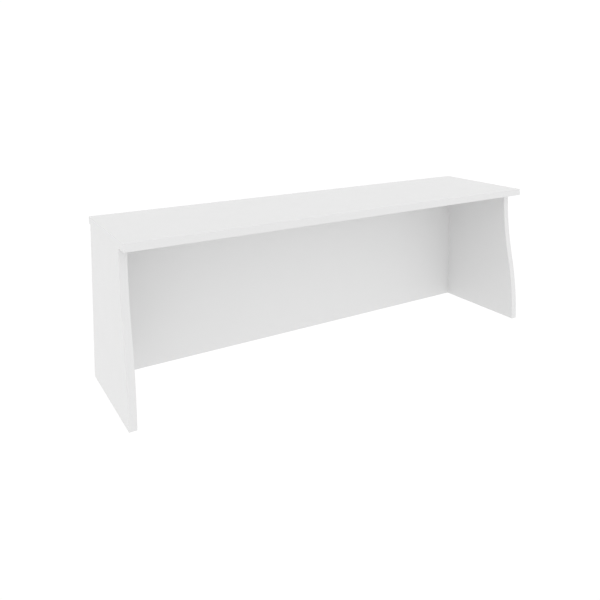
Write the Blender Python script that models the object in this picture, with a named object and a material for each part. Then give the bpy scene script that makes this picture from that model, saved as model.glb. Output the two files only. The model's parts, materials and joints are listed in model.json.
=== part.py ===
"""Counter-top unit: a long top board on two shaped sides, closed by a back panel.

The boards are white melamine-faced chipboard with plastic edge bands. They are held
together by 15 mm cam fittings (cam drum, connecting bolt and cover cap) and by fluted
beech dowels. The unit stands on a desk or counter, with its open side to the staff.

+X is to the right of someone who faces the open front, +Y to the rear, +Z up. The
origin is on the standing surface, under the middle of the top board. Metres.
"""

from math import asin, cos, pi, radians, sin

import bmesh
import bpy
from mathutils import Matrix, Vector

# Driving dimensions
LENGTH = 1.200          # top board, left to right
DEPTH = 0.300           # top board, front to rear
HEIGHT = 0.400          # standing surface to the upper face
BOARD = 0.018           # thickness of every board
END_OVERHANG = 0.001    # top board past the outer face of each side
REAR_OVERHANG = 0.010   # top board past the rear of the sides and the back
TOP_SETBACK = 0.043     # how far the sides' front edge moves back from foot to top
THICK_BAND = 0.002      # edge band round the top board and on the shaped front edges
THIN_BAND = 0.001       # edge band on rear and foot edges
BAND_ARRIS = 0.0006     # rounding of the thick bands' outer edges
GAP = 0.0003            # left between pieces that touch

# Cam fittings
CAM_DISTANCE = 0.024    # board edge to cam centre
CAM_RADIUS = 0.0075
CAM_TOP = BOARD / 2 - GAP       # cam face above the bolt's axis
CAM_BOTTOM = -0.0043            # cam underside, measured the same way
POCKET_CLOSED = 0.0049          # cam pocket's radius where the bolt head is locked
POCKET_OPEN = 0.0056            # and where it is free
HEAD_ROOM = 0.0034              # half height of the cam's pocket and mouth
NECK_ROOM = 0.0023              # half height of the cam's slot for the bolt's neck
RECESS_LENGTH = 0.0072          # cross recess for the screwdriver
RECESS_WIDTH = 0.0022
RECESS_DEPTH = 0.0030
BOLT_HEAD_RADIUS = 0.0030
BOLT_NECK_RADIUS = 0.0019
BOLT_SHANK_RADIUS = 0.0035
BOLT_THREAD_RADIUS = 0.0025
BOLT_ROOT_RADIUS = 0.0021
BOLT_THREAD_LENGTH = 0.0105
THREAD_PITCH = 0.0026
CAP_RADIUS = 0.0088
CAP_THICKNESS = 0.0012
CAP_PEG_RADIUS = 0.0012
CAP_PEG_LENGTH = 0.0022

# Dowels
DOWEL_RADIUS = 0.004
FLUTE_DEPTH = 0.0003
DOWEL_CHAMFER = 0.0008
DOWEL_IN_FACE = 0.0105          # part of a dowel that sits in a board's face
DOWEL_IN_EDGE = 0.0190          # part that sits in a board's edge

# Where the fittings are
TOP_CAM_Y = {"front": -0.030, "rear": 0.090}
TOP_DOWEL_Y = {"front": -0.075, "rear": 0.040}
BACK_CAM_Z = {"lower": 0.060, "upper": 0.320}
BACK_DOWEL_Z = {"lower": 0.130, "upper": 0.250}
BACK_TOP_DOWEL_X = {"left": -0.400, "centre": 0.0, "right": 0.400}

# Roundness
ARC_STEPS = 14          # chords in each arc of the sides' front edge
ARRIS_STEPS = 2
HOLE_SIDES = 20
CAM_SIDES = 24
BOLT_SIDES = 12
CAP_SIDES = 24
FLUTES = 8
OVERSHOOT = 0.003       # how far a cutter stands out of the face it enters
STEP = 0.00001          # length of a turned piece's flat shoulder, seen from the side

SMOOTH_BELOW = radians(31)      # faces that meet at less than this are shaded as one

# Derived places
FRONT = -DEPTH / 2
REAR = DEPTH / 2 - REAR_OVERHANG
BACK_FACE = REAR - BOARD
BACK_MIDDLE = REAR - BOARD / 2
UNDER_TOP = HEIGHT - BOARD
SIDE_TOP = UNDER_TOP - GAP
SIDE_OUTER = LENGTH / 2 - END_OVERHANG
SIDE_INNER = SIDE_OUTER - BOARD
SIDE_MIDDLE = SIDE_OUTER - BOARD / 2
BACK_END = SIDE_INNER - GAP
HANDS = {"left": -1, "right": 1}

X = Vector((1, 0, 0))
Y = Vector((0, 1, 0))
Z = Vector((0, 0, 1))


def material(name, colour, roughness, metallic=0.0):
    """A Principled material."""
    made = bpy.data.materials.new(name)
    made.use_nodes = True
    shader = made.node_tree.nodes["Principled BSDF"]
    shader.inputs["Base Color"].default_value = (*colour, 1.0)
    shader.inputs["Roughness"].default_value = roughness
    shader.inputs["Metallic"].default_value = metallic
    return made


def loft(rings):
    """A closed shape through rings of points, each ring with the same number of them."""
    shape = bmesh.new()
    loops = [[shape.verts.new(point) for point in ring] for ring in rings]
    shape.faces.new(loops[0])
    shape.faces.new(loops[-1])
    for ring, following in zip(loops, loops[1:]):
        for i in range(len(ring)):
            shape.faces.new((ring[i - 1], ring[i], following[i], following[i - 1]))
    bmesh.ops.recalc_face_normals(shape, faces=shape.faces)
    return shape


def block(low, high):
    """A box between two corners."""
    low, high = Vector(low), Vector(high)
    shape = bmesh.new()
    middle = Matrix.Translation((low + high) / 2)
    bmesh.ops.create_cube(shape, size=1, matrix=middle @ Matrix.Diagonal((*(high - low), 1)))
    return shape


def plate(outline, low, high):
    """A flat plate: an outline of (y, z) points, extruded from x = low to x = high."""
    return loft([[Vector((x, y, z)) for y, z in outline] for x in (low, high)])


def prism(outline, low, high):
    """An outline of (x, y) points, extruded from z = low to z = high."""
    return loft([[Vector((x, y, z)) for x, y in outline] for z in (low, high)])


def circle(radius, sides, start=0.0, end=2 * pi):
    """Points (u, v) round a circle, or along an arc of it with its two ends."""
    whole = end - start >= 2 * pi
    steps = sides if whole else sides + 1
    angles = [start + (end - start) * i / sides for i in range(steps)]
    return [(radius * cos(angle), radius * sin(angle)) for angle in angles]


def turned(profile, sides, along):
    """A round piece: (position, radius) pairs turned about the axis 'along', X or Z."""
    rings = []
    for position, radius in profile:
        ring = circle(radius, sides)
        if along == "X":
            rings.append([Vector((position, u, v)) for u, v in ring])
        else:
            rings.append([Vector((u, v, position)) for u, v in ring])
    return loft(rings)


def round_edges(shape, chosen):
    """Round the edges whose two ends both satisfy 'chosen'."""
    edges = [edge for edge in shape.edges if all(chosen(vertex.co) for vertex in edge.verts)]
    bmesh.ops.bevel(
        shape, geom=edges, offset=BAND_ARRIS, segments=ARRIS_STEPS, profile=0.5, affect="EDGES"
    )


def as_mesh(shape, name):
    """A mesh from a bmesh, smooth across shallow edges only."""
    mesh = bpy.data.meshes.new(name)
    shape.to_mesh(mesh)
    shape.free()
    mesh.shade_smooth()
    mesh.set_sharp_from_angle(angle=SMOOTH_BELOW)
    return mesh


def add(name, mesh, surface=None, place=None):
    """Put a mesh in the scene as a named object."""
    piece = bpy.data.objects.new(name, mesh)
    bpy.context.scene.collection.objects.link(piece)
    if surface and not mesh.materials:
        mesh.materials.append(surface)
    if place:
        piece.matrix_world = place
    return piece


def piece_at(name, shape, surface):
    """A piece built in place, with its origin moved to the middle of its box."""
    points = [vertex.co for vertex in shape.verts]
    corners = [(min(p[i] for p in points), max(p[i] for p in points)) for i in range(3)]
    middle = Vector([(low + high) / 2 for low, high in corners])
    bmesh.ops.translate(shape, verts=shape.verts, vec=-middle)
    return add(name, as_mesh(shape, name), surface, Matrix.Translation(middle))


def cut(piece, shape, label):
    """Take a shape away from a piece with a Boolean."""
    cutter = add(f"{piece.name}_{label}_cutter", as_mesh(shape, f"{piece.name}_{label}"))
    cutter.hide_render = True
    cutter.display_type = "WIRE"
    boolean = piece.modifiers.new(label, "BOOLEAN")
    boolean.operation = "DIFFERENCE"
    boolean.solver = "EXACT"
    boolean.object = cutter
    return cutter


def hole_radius(radius):
    """Radius at the corners of a hole whose flats clear a round piece by the gap."""
    return (radius + GAP) / cos(pi / HOLE_SIDES)


def drill(board, label, holes):
    """Blind holes: (mouth, direction into the board, radius of what goes in, depth)."""
    shape = bmesh.new()
    for mouth, inwards, radius, depth in holes:
        turn = inwards.to_track_quat("Z", "Y").to_matrix().to_4x4()
        middle = mouth + inwards * (depth - OVERSHOOT) / 2
        bmesh.ops.create_cone(
            shape,
            cap_ends=True,
            segments=HOLE_SIDES,
            radius1=hole_radius(radius),
            radius2=hole_radius(radius),
            depth=depth + OVERSHOOT,
            matrix=Matrix.Translation(middle) @ turn,
        )
    cut(board, shape, label)


# Holes for the fittings -----------------------------------------------------------------

def cam_bore(centre, outwards):
    """The cam's bore, from the bolt's axis in mid board out to the face."""
    return (centre + outwards * BOARD / 2, -outwards, CAM_RADIUS, BOARD / 2 - CAM_BOTTOM + GAP)


def bolt_way(centre, towards):
    """The bolt's way through the board's edge, as far as the cam's centre."""
    return (centre + towards * CAM_DISTANCE, -towards, BOLT_SHANK_RADIUS, CAM_DISTANCE)


def thread_hole(mouth, inwards):
    return (mouth, inwards, BOLT_THREAD_RADIUS, BOLT_THREAD_LENGTH + 2 * GAP)


def dowel_hole_in_face(mouth, inwards):
    return (mouth, inwards, DOWEL_RADIUS, DOWEL_IN_FACE + 2 * GAP)


def dowel_hole_in_edge(mouth, inwards):
    return (mouth, inwards, DOWEL_RADIUS, DOWEL_IN_EDGE + 2 * GAP)


def fitting_frame(centre, towards, outwards):
    """Local X along the bolt to its joint, local Z out of the board's face."""
    frame = Matrix((towards, outwards.cross(towards), outwards)).transposed().to_4x4()
    return Matrix.Translation(centre) @ frame


def side_cam_centre(sign, y):
    return Vector((sign * SIDE_MIDDLE, y, SIDE_TOP - CAM_DISTANCE))


def back_cam_centre(sign, z):
    return Vector((sign * (BACK_END - CAM_DISTANCE), BACK_MIDDLE, z))


# Boards and bands -----------------------------------------------------------------------

def front_edge(inset):
    """Points (y, z) up the sides' shaped front edge, moved into the board by inset.

    Two equal arcs meet half way up. Each ends upright, one at the foot, flush with the
    top board's front, and one under the top board, set back.
    """
    radius = (SIDE_TOP ** 2 + TOP_SETBACK ** 2) / (4 * TOP_SETBACK)
    sweep = asin(SIDE_TOP / (2 * radius))
    angles = [sweep * i / ARC_STEPS for i in range(ARC_STEPS + 1)]
    lower_centre = FRONT + radius
    upper_centre = FRONT + TOP_SETBACK - radius
    lower, upper = radius - inset, radius + inset
    points = [(lower_centre - lower * cos(a), lower * sin(a)) for a in angles]
    points += [(upper_centre + upper * cos(a), SIDE_TOP - upper * sin(a)) for a in angles[-2::-1]]
    return points


def top_parts(laminate, edging):
    """The top board with a band on each of its four edges."""
    inset = THICK_BAND + GAP
    end, front, rear = LENGTH / 2, FRONT, DEPTH / 2
    board = piece_at(
        "top_board",
        block((-end + inset, front + inset, UNDER_TOP), (end - inset, rear - inset, HEIGHT)),
        laminate,
    )
    faces = []
    for sign in HANDS.values():
        faces += [thread_hole(Vector((sign * SIDE_MIDDLE, y, UNDER_TOP)), Z) for y in TOP_CAM_Y.values()]
        faces += [
            dowel_hole_in_face(Vector((sign * SIDE_MIDDLE, y, UNDER_TOP)), Z)
            for y in TOP_DOWEL_Y.values()
        ]
    faces += [
        dowel_hole_in_face(Vector((x, BACK_MIDDLE, UNDER_TOP)), Z)
        for x in BACK_TOP_DOWEL_X.values()
    ]
    drill(board, "underside_holes", faces)

    for name, outer, inner in (
        ("top_front_band", front, front + THICK_BAND),
        ("top_rear_band", rear, rear - THICK_BAND),
    ):
        band = block((-end, min(outer, inner), UNDER_TOP), (end, max(outer, inner), HEIGHT))
        round_edges(band, lambda point, face=outer: abs(point.y - face) < GAP)
        piece_at(name, band, edging)
    for hand, sign in HANDS.items():
        outer, inner = sign * end, sign * (end - THICK_BAND)
        band = block(
            (min(outer, inner), front + inset, UNDER_TOP),
            (max(outer, inner), rear - inset, HEIGHT),
        )
        corners_apart = rear - inset - GAP
        for level in (UNDER_TOP, HEIGHT):
            round_edges(
                band,
                lambda point, face=outer, height=level: abs(point.x - face) < GAP
                and abs(point.z - height) < GAP
                and abs(point.y) > corners_apart,
            )
        piece_at(f"top_{hand}_band", band, edging)


def side_parts(hand, sign, laminate, edging):
    """One side: the shaped board with bands on its front, rear and foot edges."""
    faces = sorted((sign * SIDE_INNER, sign * SIDE_OUTER))
    foot = THIN_BAND + GAP
    board_front = front_edge(THICK_BAND + GAP)
    board_rear = REAR - foot
    outline = [(board_front[0][0], foot), *board_front[1:], (board_rear, SIDE_TOP), (board_rear, foot)]
    board = piece_at(f"{hand}_side_board", plate(outline, *faces), laminate)

    inwards = -X * sign
    centres = [side_cam_centre(sign, y) for y in TOP_CAM_Y.values()]
    face_holes = [cam_bore(centre, inwards) for centre in centres]
    face_holes += [
        thread_hole(Vector((sign * SIDE_INNER, BACK_MIDDLE, z)), X * sign)
        for z in BACK_CAM_Z.values()
    ]
    face_holes += [
        dowel_hole_in_face(Vector((sign * SIDE_INNER, BACK_MIDDLE, z)), X * sign)
        for z in BACK_DOWEL_Z.values()
    ]
    drill(board, "face_holes", face_holes)
    edge_holes = [bolt_way(centre, Z) for centre in centres]
    edge_holes += [
        dowel_hole_in_edge(Vector((sign * SIDE_MIDDLE, y, SIDE_TOP)), -Z)
        for y in TOP_DOWEL_Y.values()
    ]
    drill(board, "edge_holes", edge_holes)

    outer, inner = front_edge(0.0), front_edge(THICK_BAND)
    band = plate([*outer, *reversed(inner)], *faces)
    on_outer = {(round(y, 6), round(z, 6)) for y, z in outer}
    for face in faces:
        round_edges(
            band,
            lambda point, face=face: abs(point.x - face) < GAP / 3
            and (round(point.y, 6), round(point.z, 6)) in on_outer,
        )
    piece_at(f"{hand}_side_front_band", band, edging)
    piece_at(
        f"{hand}_side_rear_band",
        block((faces[0], REAR - THIN_BAND, 0), (faces[1], REAR, SIDE_TOP)),
        edging,
    )
    piece_at(
        f"{hand}_side_foot_band",
        block((faces[0], FRONT + THICK_BAND + GAP, 0), (faces[1], board_rear, THIN_BAND)),
        edging,
    )


def back_parts(laminate, edging):
    """The back panel between the sides, with a band on its foot edge."""
    board = piece_at(
        "back_board",
        block((-BACK_END, BACK_FACE, THIN_BAND + GAP), (BACK_END, REAR, SIDE_TOP)),
        laminate,
    )
    face_holes = []
    edge_holes = []
    for sign in HANDS.values():
        centres = [back_cam_centre(sign, z) for z in BACK_CAM_Z.values()]
        face_holes += [cam_bore(centre, Y) for centre in centres]
        edge_holes += [bolt_way(centre, X * sign) for centre in centres]
        edge_holes += [
            dowel_hole_in_edge(Vector((sign * BACK_END, BACK_MIDDLE, z)), -X * sign)
            for z in BACK_DOWEL_Z.values()
        ]
    edge_holes += [
        dowel_hole_in_edge(Vector((x, BACK_MIDDLE, SIDE_TOP)), -Z)
        for x in BACK_TOP_DOWEL_X.values()
    ]
    drill(board, "face_holes", face_holes)
    drill(board, "edge_holes", edge_holes)
    piece_at(
        "back_foot_band",
        block((-BACK_END, BACK_FACE, 0), (BACK_END, REAR, THIN_BAND)),
        edging,
    )


# Fittings -------------------------------------------------------------------------------

def cam_mesh(zinc):
    """The cam drum, with the bolt coming in at +X.

    Its pocket holds the bolt's head, and a slot lets the neck pass by for half a turn,
    from the locked place at +X to the wide mouth at -X, where the head comes free. The
    pocket's wall winds inwards on the way from the mouth to the locked place.
    """
    drum = add(
        "cam_drum",
        as_mesh(prism(circle(CAM_RADIUS, CAM_SIDES), CAM_BOTTOM, CAM_TOP), "cam"),
        zinc,
    )
    reach = CAM_RADIUS + OVERSHOOT
    open_corner = asin(HEAD_ROOM / POCKET_OPEN)
    closed_corner = asin(HEAD_ROOM / POCKET_CLOSED)
    pocket = []
    for i in range(CAM_SIDES):
        share = i / CAM_SIDES
        radius = POCKET_OPEN + (POCKET_CLOSED - POCKET_OPEN) * share
        angle = (open_corner - pi) * (1 - share)
        pocket.append((radius * cos(angle), radius * sin(angle)))
    pocket += circle(POCKET_CLOSED, CAM_SIDES // 2, 0.0, pi - closed_corner)
    pocket += [(-reach, HEAD_ROOM), (-reach, -HEAD_ROOM)]
    slot = [*circle(reach, CAM_SIDES, -pi, 0.0), (reach, NECK_ROOM), (0.0, NECK_ROOM), (0.0, 0.0)]
    half, arm = RECESS_WIDTH / 2, RECESS_LENGTH / 2
    quarter = [(arm, -half), (arm, half), (half, half)]
    cross = []
    for turn in range(4):
        c, s = cos(turn * pi / 2), sin(turn * pi / 2)
        cross += [(x * c - y * s, x * s + y * c) for x, y in quarter]
    cutters = [
        cut(drum, prism(pocket, -HEAD_ROOM, HEAD_ROOM), "pocket"),
        cut(drum, prism(slot, -NECK_ROOM, NECK_ROOM), "slot"),
        cut(drum, prism(cross, CAM_TOP - RECESS_DEPTH, CAM_TOP + OVERSHOOT), "recess"),
    ]
    finished = bpy.data.meshes.new_from_object(
        drum.evaluated_get(bpy.context.evaluated_depsgraph_get())
    )
    finished.set_sharp_from_angle(angle=SMOOTH_BELOW)
    for scrap in [drum, *cutters]:
        bpy.data.objects.remove(scrap)
    return finished


def bolt_mesh():
    """The connecting bolt, in its cam's frame: head in the cam, thread in the far board."""
    bevel = 0.0009
    head_start, head_end = -0.0009, 0.0040
    shank_start = CAM_RADIUS + 2 * GAP
    joint = CAM_DISTANCE + GAP
    profile = [
        (head_start, BOLT_HEAD_RADIUS - bevel),
        (head_start + bevel, BOLT_HEAD_RADIUS),
        (head_end - bevel, BOLT_HEAD_RADIUS),
        (head_end, BOLT_NECK_RADIUS),
        (shank_start, BOLT_NECK_RADIUS),
        (shank_start + bevel, BOLT_SHANK_RADIUS),
        (joint - GAP, BOLT_SHANK_RADIUS),
        (joint - GAP + STEP, BOLT_ROOT_RADIUS),
    ]
    turns = int(BOLT_THREAD_LENGTH / THREAD_PITCH)
    for i in range(turns):
        start = joint + GAP + i * THREAD_PITCH
        crest = start + THREAD_PITCH / 2
        profile += [(start, BOLT_ROOT_RADIUS), (crest, BOLT_THREAD_RADIUS)]
    profile.append((crest + THREAD_PITCH / 2, BOLT_ROOT_RADIUS))
    return as_mesh(turned(profile, BOLT_SIDES, "X"), "cam_bolt")


def cap_mesh():
    """The cover cap, in its cam's frame: a low dome with a peg for the cam's recess."""
    face = BOARD / 2 + GAP
    top = face + CAP_THICKNESS
    profile = [
        (face - CAP_PEG_LENGTH, CAP_PEG_RADIUS),
        (face, CAP_PEG_RADIUS),
        (face + STEP, CAP_RADIUS),
        (face + CAP_THICKNESS * 0.5, CAP_RADIUS),
        (face + CAP_THICKNESS * 0.9, CAP_RADIUS * 0.85),
        (top, CAP_RADIUS * 0.5),
    ]
    return as_mesh(turned(profile, CAP_SIDES, "Z"), "cam_cap")


def dowel_mesh():
    """A fluted dowel along local Z, its longer part below the joint at z = 0."""
    def ring(z, radius):
        points = circle(radius, 2 * FLUTES)
        deep = 1 - FLUTE_DEPTH / DOWEL_RADIUS
        return [
            Vector((x * (deep if i % 2 else 1), y * (deep if i % 2 else 1), z))
            for i, (x, y) in enumerate(points)
        ]

    narrow = DOWEL_RADIUS - DOWEL_CHAMFER
    return as_mesh(
        loft([
            ring(-DOWEL_IN_EDGE, narrow),
            ring(-DOWEL_IN_EDGE + DOWEL_CHAMFER, DOWEL_RADIUS),
            ring(DOWEL_IN_FACE - DOWEL_CHAMFER, DOWEL_RADIUS),
            ring(DOWEL_IN_FACE, narrow),
        ]),
        "dowel",
    )


def cam_fittings(zinc, steel, white):
    """Cam, bolt and cap of each fitting, named after the joint that they hold."""
    cam, bolt, cap = cam_mesh(zinc), bolt_mesh(), cap_mesh()
    places = {}
    for hand, sign in HANDS.items():
        for where, y in TOP_CAM_Y.items():
            places[f"top_{hand}_{where}"] = fitting_frame(side_cam_centre(sign, y), Z, -X * sign)
        for where, z in BACK_CAM_Z.items():
            places[f"back_{hand}_{where}"] = fitting_frame(back_cam_centre(sign, z), X * sign, Y)
    for joint, place in places.items():
        add(f"cam_{joint}", cam, zinc, place)
        add(f"cam_bolt_{joint}", bolt, steel, place)
        add(f"cam_cap_{joint}", cap, white, place)


def dowels(beech):
    """Every dowel, with local Z pointing out of the edge that holds its longer part."""
    mesh = dowel_mesh()
    for hand, sign in HANDS.items():
        for where, y in TOP_DOWEL_Y.items():
            joint = Vector((sign * SIDE_MIDDLE, y, UNDER_TOP))
            add(f"dowel_top_{hand}_{where}", mesh, beech, Matrix.Translation(joint))
        for where, z in BACK_DOWEL_Z.items():
            joint = Matrix.Translation((sign * SIDE_INNER, BACK_MIDDLE, z))
            lying = Matrix.Rotation(sign * pi / 2, 4, "Y")
            add(f"dowel_back_{hand}_{where}", mesh, beech, joint @ lying)
    for where, x in BACK_TOP_DOWEL_X.items():
        joint = Vector((x, BACK_MIDDLE, UNDER_TOP))
        add(f"dowel_top_back_{where}", mesh, beech, Matrix.Translation(joint))


def main():
    for old in list(bpy.data.objects):
        bpy.data.objects.remove(old)
    laminate = material("white_laminate", (0.86, 0.86, 0.86), 0.45)
    edging = material("white_edge_band", (0.86, 0.86, 0.86), 0.40)
    white = material("white_cap_plastic", (0.84, 0.84, 0.84), 0.35)
    zinc = material("cast_zinc", (0.55, 0.56, 0.58), 0.45, 1.0)
    steel = material("zinc_plated_steel", (0.66, 0.67, 0.68), 0.30, 1.0)
    beech = material("beech", (0.62, 0.44, 0.27), 0.60)

    top_parts(laminate, edging)
    for hand, sign in HANDS.items():
        side_parts(hand, sign, laminate, edging)
    back_parts(laminate, edging)
    cam_fittings(zinc, steel, white)
    dowels(beech)


main()
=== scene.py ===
"""Looks of the counter-top unit: white melamine boards, rounded edge bands and cover caps
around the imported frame, on a white floor in even studio light. Metres throughout."""

import json

from math import asin, cos, pi, radians, sin

import bmesh
import bpy
from mathutils import Matrix, Vector


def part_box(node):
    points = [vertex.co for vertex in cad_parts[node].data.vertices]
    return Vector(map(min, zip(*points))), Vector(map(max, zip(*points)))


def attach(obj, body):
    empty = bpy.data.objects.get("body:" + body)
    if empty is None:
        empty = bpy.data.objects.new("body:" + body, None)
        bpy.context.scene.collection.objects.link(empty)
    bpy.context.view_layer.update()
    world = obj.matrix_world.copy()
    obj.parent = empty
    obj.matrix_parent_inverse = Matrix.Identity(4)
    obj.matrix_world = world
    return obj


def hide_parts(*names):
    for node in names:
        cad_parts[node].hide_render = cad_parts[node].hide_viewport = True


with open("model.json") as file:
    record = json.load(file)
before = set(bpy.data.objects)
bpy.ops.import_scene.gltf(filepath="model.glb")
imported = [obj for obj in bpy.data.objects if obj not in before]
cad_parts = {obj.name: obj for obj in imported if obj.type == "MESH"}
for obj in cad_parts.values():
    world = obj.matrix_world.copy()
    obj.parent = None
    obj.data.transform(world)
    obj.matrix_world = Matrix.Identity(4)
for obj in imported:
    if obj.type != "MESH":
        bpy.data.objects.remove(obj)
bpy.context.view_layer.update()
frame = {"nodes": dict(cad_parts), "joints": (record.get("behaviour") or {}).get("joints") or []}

# Sizes that the frame doesn't state
CAD_GAP = 0.0003        # left in the CAD between pieces that touch
SEAM = 0.000005         # what is left of it here
REACH = CAD_GAP - SEAM  # how far a piece is drawn out to the one that it touches
SAME_PLACE = 0.00001    # coordinates closer than this are taken as equal
FACING = 0.0001         # thickness of the melamine on a board's two faces
THICK_ARRIS = 0.0005    # rounding of the 2 mm bands' outer edges
THIN_ARRIS = 0.0003     # and of the 1 mm bands'
ARRIS_STEPS = 6
CURVE_STEPS = 14        # chords in each arc of the sides' front edge, as in the CAD
CAP_SIDES = 72
CROWN_STEPS = 12
CAP_LIFT = 0.00005      # cap above the board's face
SMOOTH_BELOW = radians(31)      # faces that meet at less than this are shaded as one

# Colours
LAMINATE_WHITE = (0.700, 0.700, 0.700)
BAND_WHITE = (0.695, 0.695, 0.695)
CAP_WHITE = (0.685, 0.685, 0.685)
CHIP_LIGHT = (0.60, 0.46, 0.31)
CHIP_DARK = (0.36, 0.25, 0.15)
CHIP_DUST = (0.68, 0.55, 0.39)
ZINC = (0.56, 0.57, 0.59)
STEEL = (0.70, 0.71, 0.73)
BEECH = (0.68, 0.50, 0.33)
BEECH_DARK = (0.56, 0.39, 0.24)
BEECH_LIGHT = (0.74, 0.57, 0.39)

# How close together the features of each surface are, per metre
MOTTLING = 9.0
UNEVEN_GLOSS = 24.0
MELAMINE_GRAIN = 1100.0
BAND_GRAIN = 1500.0
CAP_GRAIN = 2200.0
CHIPS = 420.0
CHIP_DUST_GRAINS = 1500.0
BEECH_ALONG, BEECH_ACROSS = 45.0, 900.0

# Brightness of the studio round the unit, and how much stronger it is straight in front
LIGHT_LEVEL = 1.128
LIGHT_SLOPE = 0.060
FLOOR_LEVEL = 1.106
SEEN_LEVEL = 1.03       # the white that the camera sees instead
FLOOR_DROP = 0.0002     # the floor lies this far under the unit's feet
FLOOR_HALF = 30.0       # half the floor's side

# Camera: its place, how far it looks down and to the right, its lens in millimetres, and
# the picture's shift as a share of its width
CAMERA_PLACE = (-0.9427, -1.3881, 0.7347)
CAMERA_DOWN = radians(5.047)
CAMERA_RIGHT = radians(31.579)
SENSOR_WIDTH = 36.0
FOCAL_LENGTH = 37.373
PICTURE_SHIFT = -0.2783

X, Y, Z = range(3)
SURFACES = {}


# Materials ------------------------------------------------------------------------------

class Surface:
    """A Principled material and short ways to wire it up."""

    def __init__(self, name, colour, roughness, metallic=0.0):
        self.material = bpy.data.materials.new(name)
        self.material.use_nodes = True
        self.tree = self.material.node_tree
        self.shader = self.tree.nodes["Principled BSDF"]
        self.shader.inputs["Base Color"].default_value = (*colour, 1)
        self.shader.inputs["Roughness"].default_value = roughness
        self.shader.inputs["Metallic"].default_value = metallic
        self.shader.inputs["Specular IOR Level"].default_value = 0.5 if metallic else 0.3
        self.place = self.node("ShaderNodeTexCoord").outputs["Object"]
        SURFACES[name] = self.material

    def node(self, kind, **settings):
        made = self.tree.nodes.new(kind)
        for name, value in settings.items():
            setattr(made, name, value)
        return made

    def link(self, output, target, name):
        self.tree.links.new(output, target.inputs[name])

    def stretched(self, scale):
        """The place on the object, scaled by a different factor along each axis."""
        mapping = self.node("ShaderNodeMapping")
        mapping.inputs["Scale"].default_value = scale
        self.link(self.place, mapping, "Vector")
        return mapping.outputs["Vector"]

    def noise(self, per_metre, detail=2.0, place=None):
        made = self.node("ShaderNodeTexNoise")
        made.inputs["Scale"].default_value = per_metre
        made.inputs["Detail"].default_value = detail
        self.link(place or self.place, made, "Vector")
        return made.outputs["Fac"]

    def spread(self, value, low, high, start=0.3, end=0.7):
        """A value mapped from start..end onto low..high."""
        made = self.node("ShaderNodeMapRange")
        for name, number in (
            ("From Min", start),
            ("From Max", end),
            ("To Min", low),
            ("To Max", high),
        ):
            made.inputs[name].default_value = number
        self.link(value, made, "Value")
        return made.outputs["Result"]

    def maths(self, operation, first, second=None):
        made = self.node("ShaderNodeMath", operation=operation)
        for i, value in enumerate((first, second)):
            if isinstance(value, (int, float)):
                made.inputs[i].default_value = value
            elif value is not None:
                self.tree.links.new(value, made.inputs[i])
        return made.outputs["Value"]

    def mixed(self, share, first, second):
        """Two colours or colour outputs mixed by a share."""
        made = self.node("ShaderNodeMix", data_type="RGBA")
        self.link(share, made, "Factor")
        for name, value in (("A", first), ("B", second)):
            target = next(s for s in made.inputs if s.name == name and s.type == "RGBA")
            if isinstance(value, tuple):
                target.default_value = (*value, 1)
            else:
                self.tree.links.new(value, target)
        return next(s for s in made.outputs if s.type == "RGBA")

    def tint(self, colour, value):
        """A colour brightened or darkened by a value near 1."""
        made = self.node("ShaderNodeVectorMath", operation="SCALE")
        made.inputs[0].default_value = colour
        self.link(value, made, "Scale")
        return made.outputs["Vector"]

    def bump(self, height, depth, under=None):
        """Relief of the given depth in metres; 'under' is a coarser relief beneath it."""
        made = self.node("ShaderNodeBump")
        made.inputs["Distance"].default_value = depth
        made.inputs["Strength"].default_value = 1.0
        self.link(height, made, "Height")
        if under:
            self.link(under, made, "Normal")
        return made.outputs["Normal"]

    def wear(self, output, socket):
        self.link(output, self.shader, socket)


def satin_white(name, colour, roughness, grain, relief):
    """A white satin surface: faint mottling, a fine pressed grain, uneven gloss.

    'grain' is how many waves of the grain a metre holds, and 'relief' is their depth.
    """
    made = Surface(name, colour, roughness)
    mottling = made.spread(made.noise(MOTTLING, 3.0), 0.997, 1.003)
    speckle = made.spread(made.noise(grain * 1.7, 1.0), 0.988, 1.012)
    made.wear(made.tint(colour, made.maths("MULTIPLY", mottling, speckle)), "Base Color")
    uneven = made.spread(made.noise(UNEVEN_GLOSS, 4.0), -0.03, 0.03)
    fine = made.spread(made.noise(grain, 2.0), -0.04, 0.04)
    gloss = made.maths("ADD", uneven, roughness)
    made.wear(made.maths("ADD", fine, gloss), "Roughness")
    coarse = made.bump(made.noise(grain * 0.35, 2.0), relief * 1.5)
    made.wear(made.bump(made.noise(grain, 2.0), relief, coarse), "Normal")
    return made


def chipboard_colour(made):
    """Pressed wood chips, for edges that have no band and for the bores."""
    chips = made.node("ShaderNodeTexVoronoi")
    chips.inputs["Scale"].default_value = CHIPS
    made.link(made.place, chips, "Vector")
    flakes = made.mixed(
        made.spread(chips.outputs["Distance"], 0.0, 1.0, 0.05, 0.6),
        CHIP_LIGHT,
        CHIP_DARK,
    )
    dust = made.spread(made.noise(CHIP_DUST_GRAINS, 3.0), 0.0, 0.5)
    return made.mixed(dust, flakes, CHIP_DUST)


def board_material(node, axis):
    """White melamine on the two faces across the given axis, chipboard everywhere else."""
    low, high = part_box(node)
    middle = (low[axis] + high[axis]) / 2
    half = (high[axis] - low[axis]) / 2
    made = satin_white(f"melamine_{node}", LAMINATE_WHITE, 0.46, MELAMINE_GRAIN, 0.000020)
    white = made.shader.inputs["Base Color"].links[0].from_socket
    parts = made.node("ShaderNodeSeparateXYZ")
    made.link(made.place, parts, "Vector")
    across = made.maths("SUBTRACT", parts.outputs[axis], middle)
    on_face = made.maths("GREATER_THAN", made.maths("ABSOLUTE", across), half - FACING)
    made.wear(made.mixed(on_face, chipboard_colour(made), white), "Base Color")
    return made.material


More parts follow.
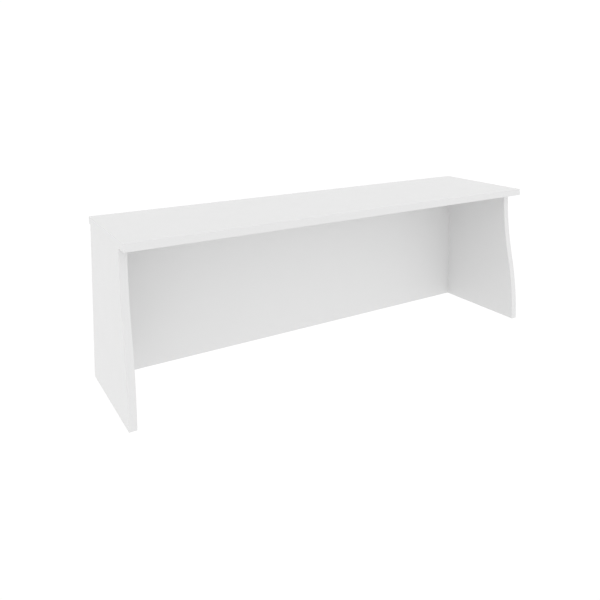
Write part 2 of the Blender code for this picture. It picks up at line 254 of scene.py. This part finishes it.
def edge_band_material():
    return satin_white("abs_edge_band", BAND_WHITE, 0.45, BAND_GRAIN, 0.000014).material


def cap_material():
    return satin_white("cap_plastic", CAP_WHITE, 0.34, CAP_GRAIN, 0.000004).material


def clouded_metal(name, colour, clouds, shades, gloss, grain, relief):
    """A bare metal whose shade and gloss vary in clouds, with a fine grain.

    'clouds' and 'grain' are (per metre, detail), 'shades' and 'gloss' are (low, high).
    """
    made = Surface(name, colour, sum(gloss) / 2, 1.0)
    cloud = made.noise(*clouds)
    made.wear(made.tint(colour, made.spread(cloud, *shades)), "Base Color")
    made.wear(made.spread(cloud, *gloss), "Roughness")
    made.wear(made.bump(made.noise(*grain), relief), "Normal")
    return made.material


def cast_zinc_material():
    return clouded_metal(
        "cast_zinc", ZINC, (600.0, 4.0), (0.85, 1.12), (0.34, 0.52), (2500.0, 3.0), 0.00002
    )


def plated_steel_material():
    return clouded_metal(
        "plated_steel", STEEL, (900.0, 3.0), (0.92, 1.05), (0.22, 0.36), (5000.0, 2.0), 0.000005
    )


def beech_material(name, axis):
    """Bare beech with its grain along one axis."""
    made = Surface(name, BEECH, 0.62)
    scale = [BEECH_ACROSS] * 3
    scale[axis] = BEECH_ALONG
    grain = made.noise(1.0, 4.0, made.stretched(scale))
    colour = made.mixed(made.spread(grain, 0.0, 1.0), BEECH_DARK, BEECH_LIGHT)
    made.wear(colour, "Base Color")
    made.wear(made.spread(grain, 0.55, 0.70), "Roughness")
    made.wear(made.bump(grain, 0.00004), "Normal")
    return made.material


def dress(node, material):
    """Give a CAD node its material."""
    mesh = frame["nodes"][node].data
    mesh.materials.clear()
    mesh.materials.append(material)


# Pieces ---------------------------------------------------------------------------------

def piece(node, mesh, material, body):
    """A finished piece that stands for a CAD node and moves with its body."""
    mesh.materials.clear()
    mesh.materials.append(material)
    made = bpy.data.objects.new(f"{node}_finished", mesh)
    bpy.context.scene.collection.objects.link(made)
    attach(made, body)
    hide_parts(node)
    return made


def rounded_piece(node, shape, material, body):
    """A piece from a bmesh, whose roundings are shaded smoothly into its flat faces."""
    mesh = bpy.data.meshes.new(node)
    shape.to_mesh(mesh)
    shape.free()
    mesh.shade_smooth()
    mesh.set_sharp_from_angle(angle=SMOOTH_BELOW)
    made = piece(node, mesh, material, body)
    shading = made.modifiers.new("even_shading", "WEIGHTED_NORMAL")
    shading.weight = 100
    shading.keep_sharp = True


def loft(rings):
    """A closed shape through rings of points, each ring with the same number of them."""
    shape = bmesh.new()
    loops = [[shape.verts.new(point) for point in ring] for ring in rings]
    shape.faces.new(loops[0])
    shape.faces.new(loops[-1])
    for ring, following in zip(loops, loops[1:]):
        for i in range(len(ring)):
            shape.faces.new((ring[i - 1], ring[i], following[i], following[i - 1]))
    bmesh.ops.recalc_face_normals(shape, faces=shape.faces)
    return shape


def drawn_out(node, meets):
    """A node's box, drawn out to the pieces that it meets: (axis, side) pairs."""
    low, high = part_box(node)
    for axis, side in meets:
        corner = high if side > 0 else low
        corner[axis] += side * REACH
    return low, high


def board(node, axis, meets):
    """A board whose faces lie across an axis, with its ends drawn out to what they meet."""
    mesh = frame["nodes"][node].data.copy()
    low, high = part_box(node)
    for along, side in meets:
        end = (high if side > 0 else low)[along]
        for vertex in mesh.vertices:
            if abs(vertex.co[along] - end) < SAME_PLACE:
                vertex.co[along] += side * REACH
    piece(node, mesh, board_material(node, axis), "carcass")


def straight_band(node, axis, side, arris, ends=(), round_ends=False):
    """A band with its outer edges rounded. It faces 'side' (-1 or 1) along an axis."""
    low, high = drawn_out(node, [(axis, -side), *ends])
    size = high - low
    outer = (high if side > 0 else low)[axis]
    along = max(range(3), key=lambda i: size[i])
    shape = bmesh.new()
    middle = Matrix.Translation((low + high) / 2)
    bmesh.ops.create_cube(shape, size=1, matrix=middle @ Matrix.Diagonal((*size, 1)))
    chosen = []
    for edge in shape.edges:
        on_outer = all(abs(vertex.co[axis] - outer) < SAME_PLACE for vertex in edge.verts)
        lengthwise = abs(edge.verts[0].co[along] - edge.verts[1].co[along]) > size[along] / 2
        if on_outer and (lengthwise or round_ends):
            chosen.append(edge)
    bmesh.ops.bevel(
        shape, geom=chosen, offset=arris, segments=ARRIS_STEPS, profile=0.5, affect="EDGES"
    )
    rounded_piece(node, shape, SURFACES["abs_edge_band"], "carcass")


def front_edge(low, high, setback, inset):
    """Points (y, z) up a side's shaped front edge, moved into the board by inset.

    Two equal arcs meet half way up, and each ends upright.
    """
    height = high.z - low.z
    radius = (height ** 2 + setback ** 2) / (4 * setback)
    sweep = asin(height / (2 * radius))
    angles = [sweep * i / CURVE_STEPS for i in range(CURVE_STEPS + 1)]
    lower, upper = radius - inset, radius + inset
    points = [(low.y + radius - lower * cos(a), low.z + lower * sin(a)) for a in angles]
    points += [
        (low.y + setback - radius + upper * cos(a), high.z - upper * sin(a))
        for a in angles[-2::-1]
    ]
    return points


def curved_band(hand):
    """The band on a side's S-shaped front edge, with both outer edges rounded."""
    node = f"{hand}_side_front_band"
    low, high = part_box(node)
    flat_low, flat_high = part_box("top_front_band")
    thickness = flat_high.y - flat_low.y
    setback = high.y - low.y - thickness
    turn = [pi / 2 * i / ARRIS_STEPS for i in range(ARRIS_STEPS + 1)]
    corner = [(THICK_ARRIS * (1 - cos(a)), THICK_ARRIS * (1 - sin(a))) for a in turn]
    section = [(low.x, thickness + REACH)]
    section += [(low.x + across, inset) for across, inset in corner]
    section += [(high.x - across, inset) for across, inset in reversed(corner)]
    section.append((high.x, thickness + REACH))
    lines = [front_edge(low, high, setback, inset) for _, inset in section]
    rings = [
        [Vector((x, *line[i])) for (x, _), line in zip(section, lines)]
        for i in range(2 * CURVE_STEPS + 1)
    ]
    for point in rings[-1]:
        point.z += REACH
    shape = loft(rings)
    rounded_piece(node, shape, SURFACES["abs_edge_band"], "carcass")


def cap_profile(face, top, radius):
    """(height, radius) pairs from the tip of the peg to the middle of the low dome."""
    peg_radius, peg_length, peg_taper = 0.0012, 0.0022, 0.0003
    lip, rim, arris = 0.0002, 0.0005, 0.0001
    profile = [
        (face - peg_length, peg_radius - peg_taper),
        (face - peg_length + peg_taper, peg_radius),
        (face, peg_radius),
        (face, radius - arris),
        (face + arris, radius),
    ]
    for i in range(ARRIS_STEPS + 1):
        angle = pi / 2 * i / ARRIS_STEPS
        profile.append((face + lip + rim * sin(angle), radius - rim * (1 - cos(angle))))
    crown_start, crown_radius = face + lip + rim, radius - rim
    for i in range(1, CROWN_STEPS):
        angle = pi / 2 * i / CROWN_STEPS
        profile.append((crown_start + (top - crown_start) * sin(angle), crown_radius * cos(angle)))
    return profile


def cap(joint):
    """A cam's cover cap: a low dome with a rounded rim, and a peg in the cam's recess."""
    body = joint["child"]
    node = "cam_cap_" + body.removeprefix("lock_")
    low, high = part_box(node)
    centre, outwards = Vector(joint["pos_m"]), Vector(joint["axis"])
    top = max((corner - centre).dot(outwards) for corner in (low, high))
    board_low, board_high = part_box("top_board")
    face = (board_high.z - board_low.z) / 2 + CAP_LIFT
    first = outwards.orthogonal().normalized()
    second = outwards.cross(first)
    rings = []
    for height, radius in cap_profile(face, top, max(high - low) / 2):
        angles = [2 * pi * i / CAP_SIDES for i in range(CAP_SIDES)]
        rings.append(
            [
                centre + outwards * height + (first * cos(a) + second * sin(a)) * radius
                for a in angles
            ]
        )
    rounded_piece(node, loft(rings), SURFACES["cap_plastic"], body)


# Stage ----------------------------------------------------------------------------------

def seen_as_white(tree, shader, output):
    """The camera sees a plain white, and the other rays see the given shader."""
    white = tree.nodes.new(shader.bl_idname)
    choice = tree.nodes.new("ShaderNodeMixShader")
    rays = tree.nodes.new("ShaderNodeLightPath")
    tree.links.new(rays.outputs["Is Camera Ray"], choice.inputs["Fac"])
    tree.links.new(shader.outputs[0], choice.inputs[1])
    tree.links.new(white.outputs[0], choice.inputs[2])
    tree.links.new(choice.outputs["Shader"], output.inputs["Surface"])
    for each in (white, shader):
        each.inputs["Color"].default_value = (1, 1, 1, 1)
    white.inputs["Strength"].default_value = SEEN_LEVEL


def floor():
    """A white floor that glows evenly, as the studio does, and takes no shadow."""
    mesh = bpy.data.meshes.new("floor")
    signs = ((-1, -1), (1, -1), (1, 1), (-1, 1))
    corners = [(x * FLOOR_HALF, y * FLOOR_HALF, 0) for x, y in signs]
    mesh.from_pydata(corners, [], [(0, 1, 2, 3)])
    made = bpy.data.objects.new("floor", mesh)
    made.location.z = -FLOOR_DROP
    bpy.context.scene.collection.objects.link(made)
    glow = bpy.data.materials.new("white_floor")
    glow.use_nodes = True
    tree = glow.node_tree
    tree.nodes.remove(tree.nodes["Principled BSDF"])
    light = tree.nodes.new("ShaderNodeEmission")
    light.inputs["Strength"].default_value = FLOOR_LEVEL
    seen_as_white(tree, light, tree.nodes["Material Output"])
    mesh.materials.append(glow)


def studio_light():
    """White light from all round, a little stronger from the front than from the rear."""
    world = bpy.data.worlds.new("studio")
    world.use_nodes = True
    tree = world.node_tree
    where = tree.nodes.new("ShaderNodeTexCoord")
    slope = tree.nodes.new("ShaderNodeVectorMath")
    slope.operation = "DOT_PRODUCT"
    slope.inputs[1].default_value = (0, -LIGHT_SLOPE, 0)
    level = tree.nodes.new("ShaderNodeMath")
    level.inputs[1].default_value = LIGHT_LEVEL
    tree.links.new(where.outputs["Generated"], slope.inputs[0])
    tree.links.new(slope.outputs["Value"], level.inputs[0])
    tree.links.new(level.outputs["Value"], tree.nodes["Background"].inputs["Strength"])
    seen_as_white(tree, tree.nodes["Background"], tree.nodes["World Output"])
    bpy.context.scene.world = world
    bpy.context.scene.view_settings.view_transform = "Standard"


def camera():
    """To the left of the unit, above it and nearly level, with the picture shifted down."""
    lens = bpy.data.cameras.new("camera")
    lens.sensor_width = SENSOR_WIDTH
    lens.lens = FOCAL_LENGTH
    lens.shift_y = PICTURE_SHIFT
    made = bpy.data.objects.new("camera", lens)
    made.location = CAMERA_PLACE
    made.rotation_euler = (pi / 2 - CAMERA_DOWN, 0, -CAMERA_RIGHT)
    bpy.context.scene.collection.objects.link(made)
    bpy.context.scene.camera = made


def main():
    edge_band_material()
    cap_material()
    zinc, steel = cast_zinc_material(), plated_steel_material()
    upright, lying = beech_material("beech_upright", Z), beech_material("beech_lying", X)
    for node in frame["nodes"]:
        if node.startswith("cam_bolt"):
            dress(node, steel)
        elif node.startswith("dowel_back"):
            dress(node, lying)
        elif node.startswith("dowel"):
            dress(node, upright)
        elif node.startswith("cam_") and not node.startswith("cam_cap"):
            dress(node, zinc)

    dress("top_board", board_material("top_board", Z))
    board("back_board", Y, [(X, -1), (X, 1), (Z, 1)])
    straight_band("back_foot_band", Z, -1, THIN_ARRIS, [(X, -1), (X, 1)])
    straight_band("top_front_band", Y, -1, THICK_ARRIS, round_ends=True)
    straight_band("top_rear_band", Y, 1, THICK_ARRIS, round_ends=True)
    for hand, side in (("left", -1), ("right", 1)):
        straight_band(f"top_{hand}_band", X, side, THICK_ARRIS)
        board(f"{hand}_side_board", X, [(Z, 1)])
        curved_band(hand)
        straight_band(f"{hand}_side_rear_band", Y, 1, THIN_ARRIS, [(Z, 1)])
        straight_band(f"{hand}_side_foot_band", Z, -1, THIN_ARRIS)
    for joint in frame["joints"]:
        cap(joint)
    floor()
    studio_light()
    camera()


main()
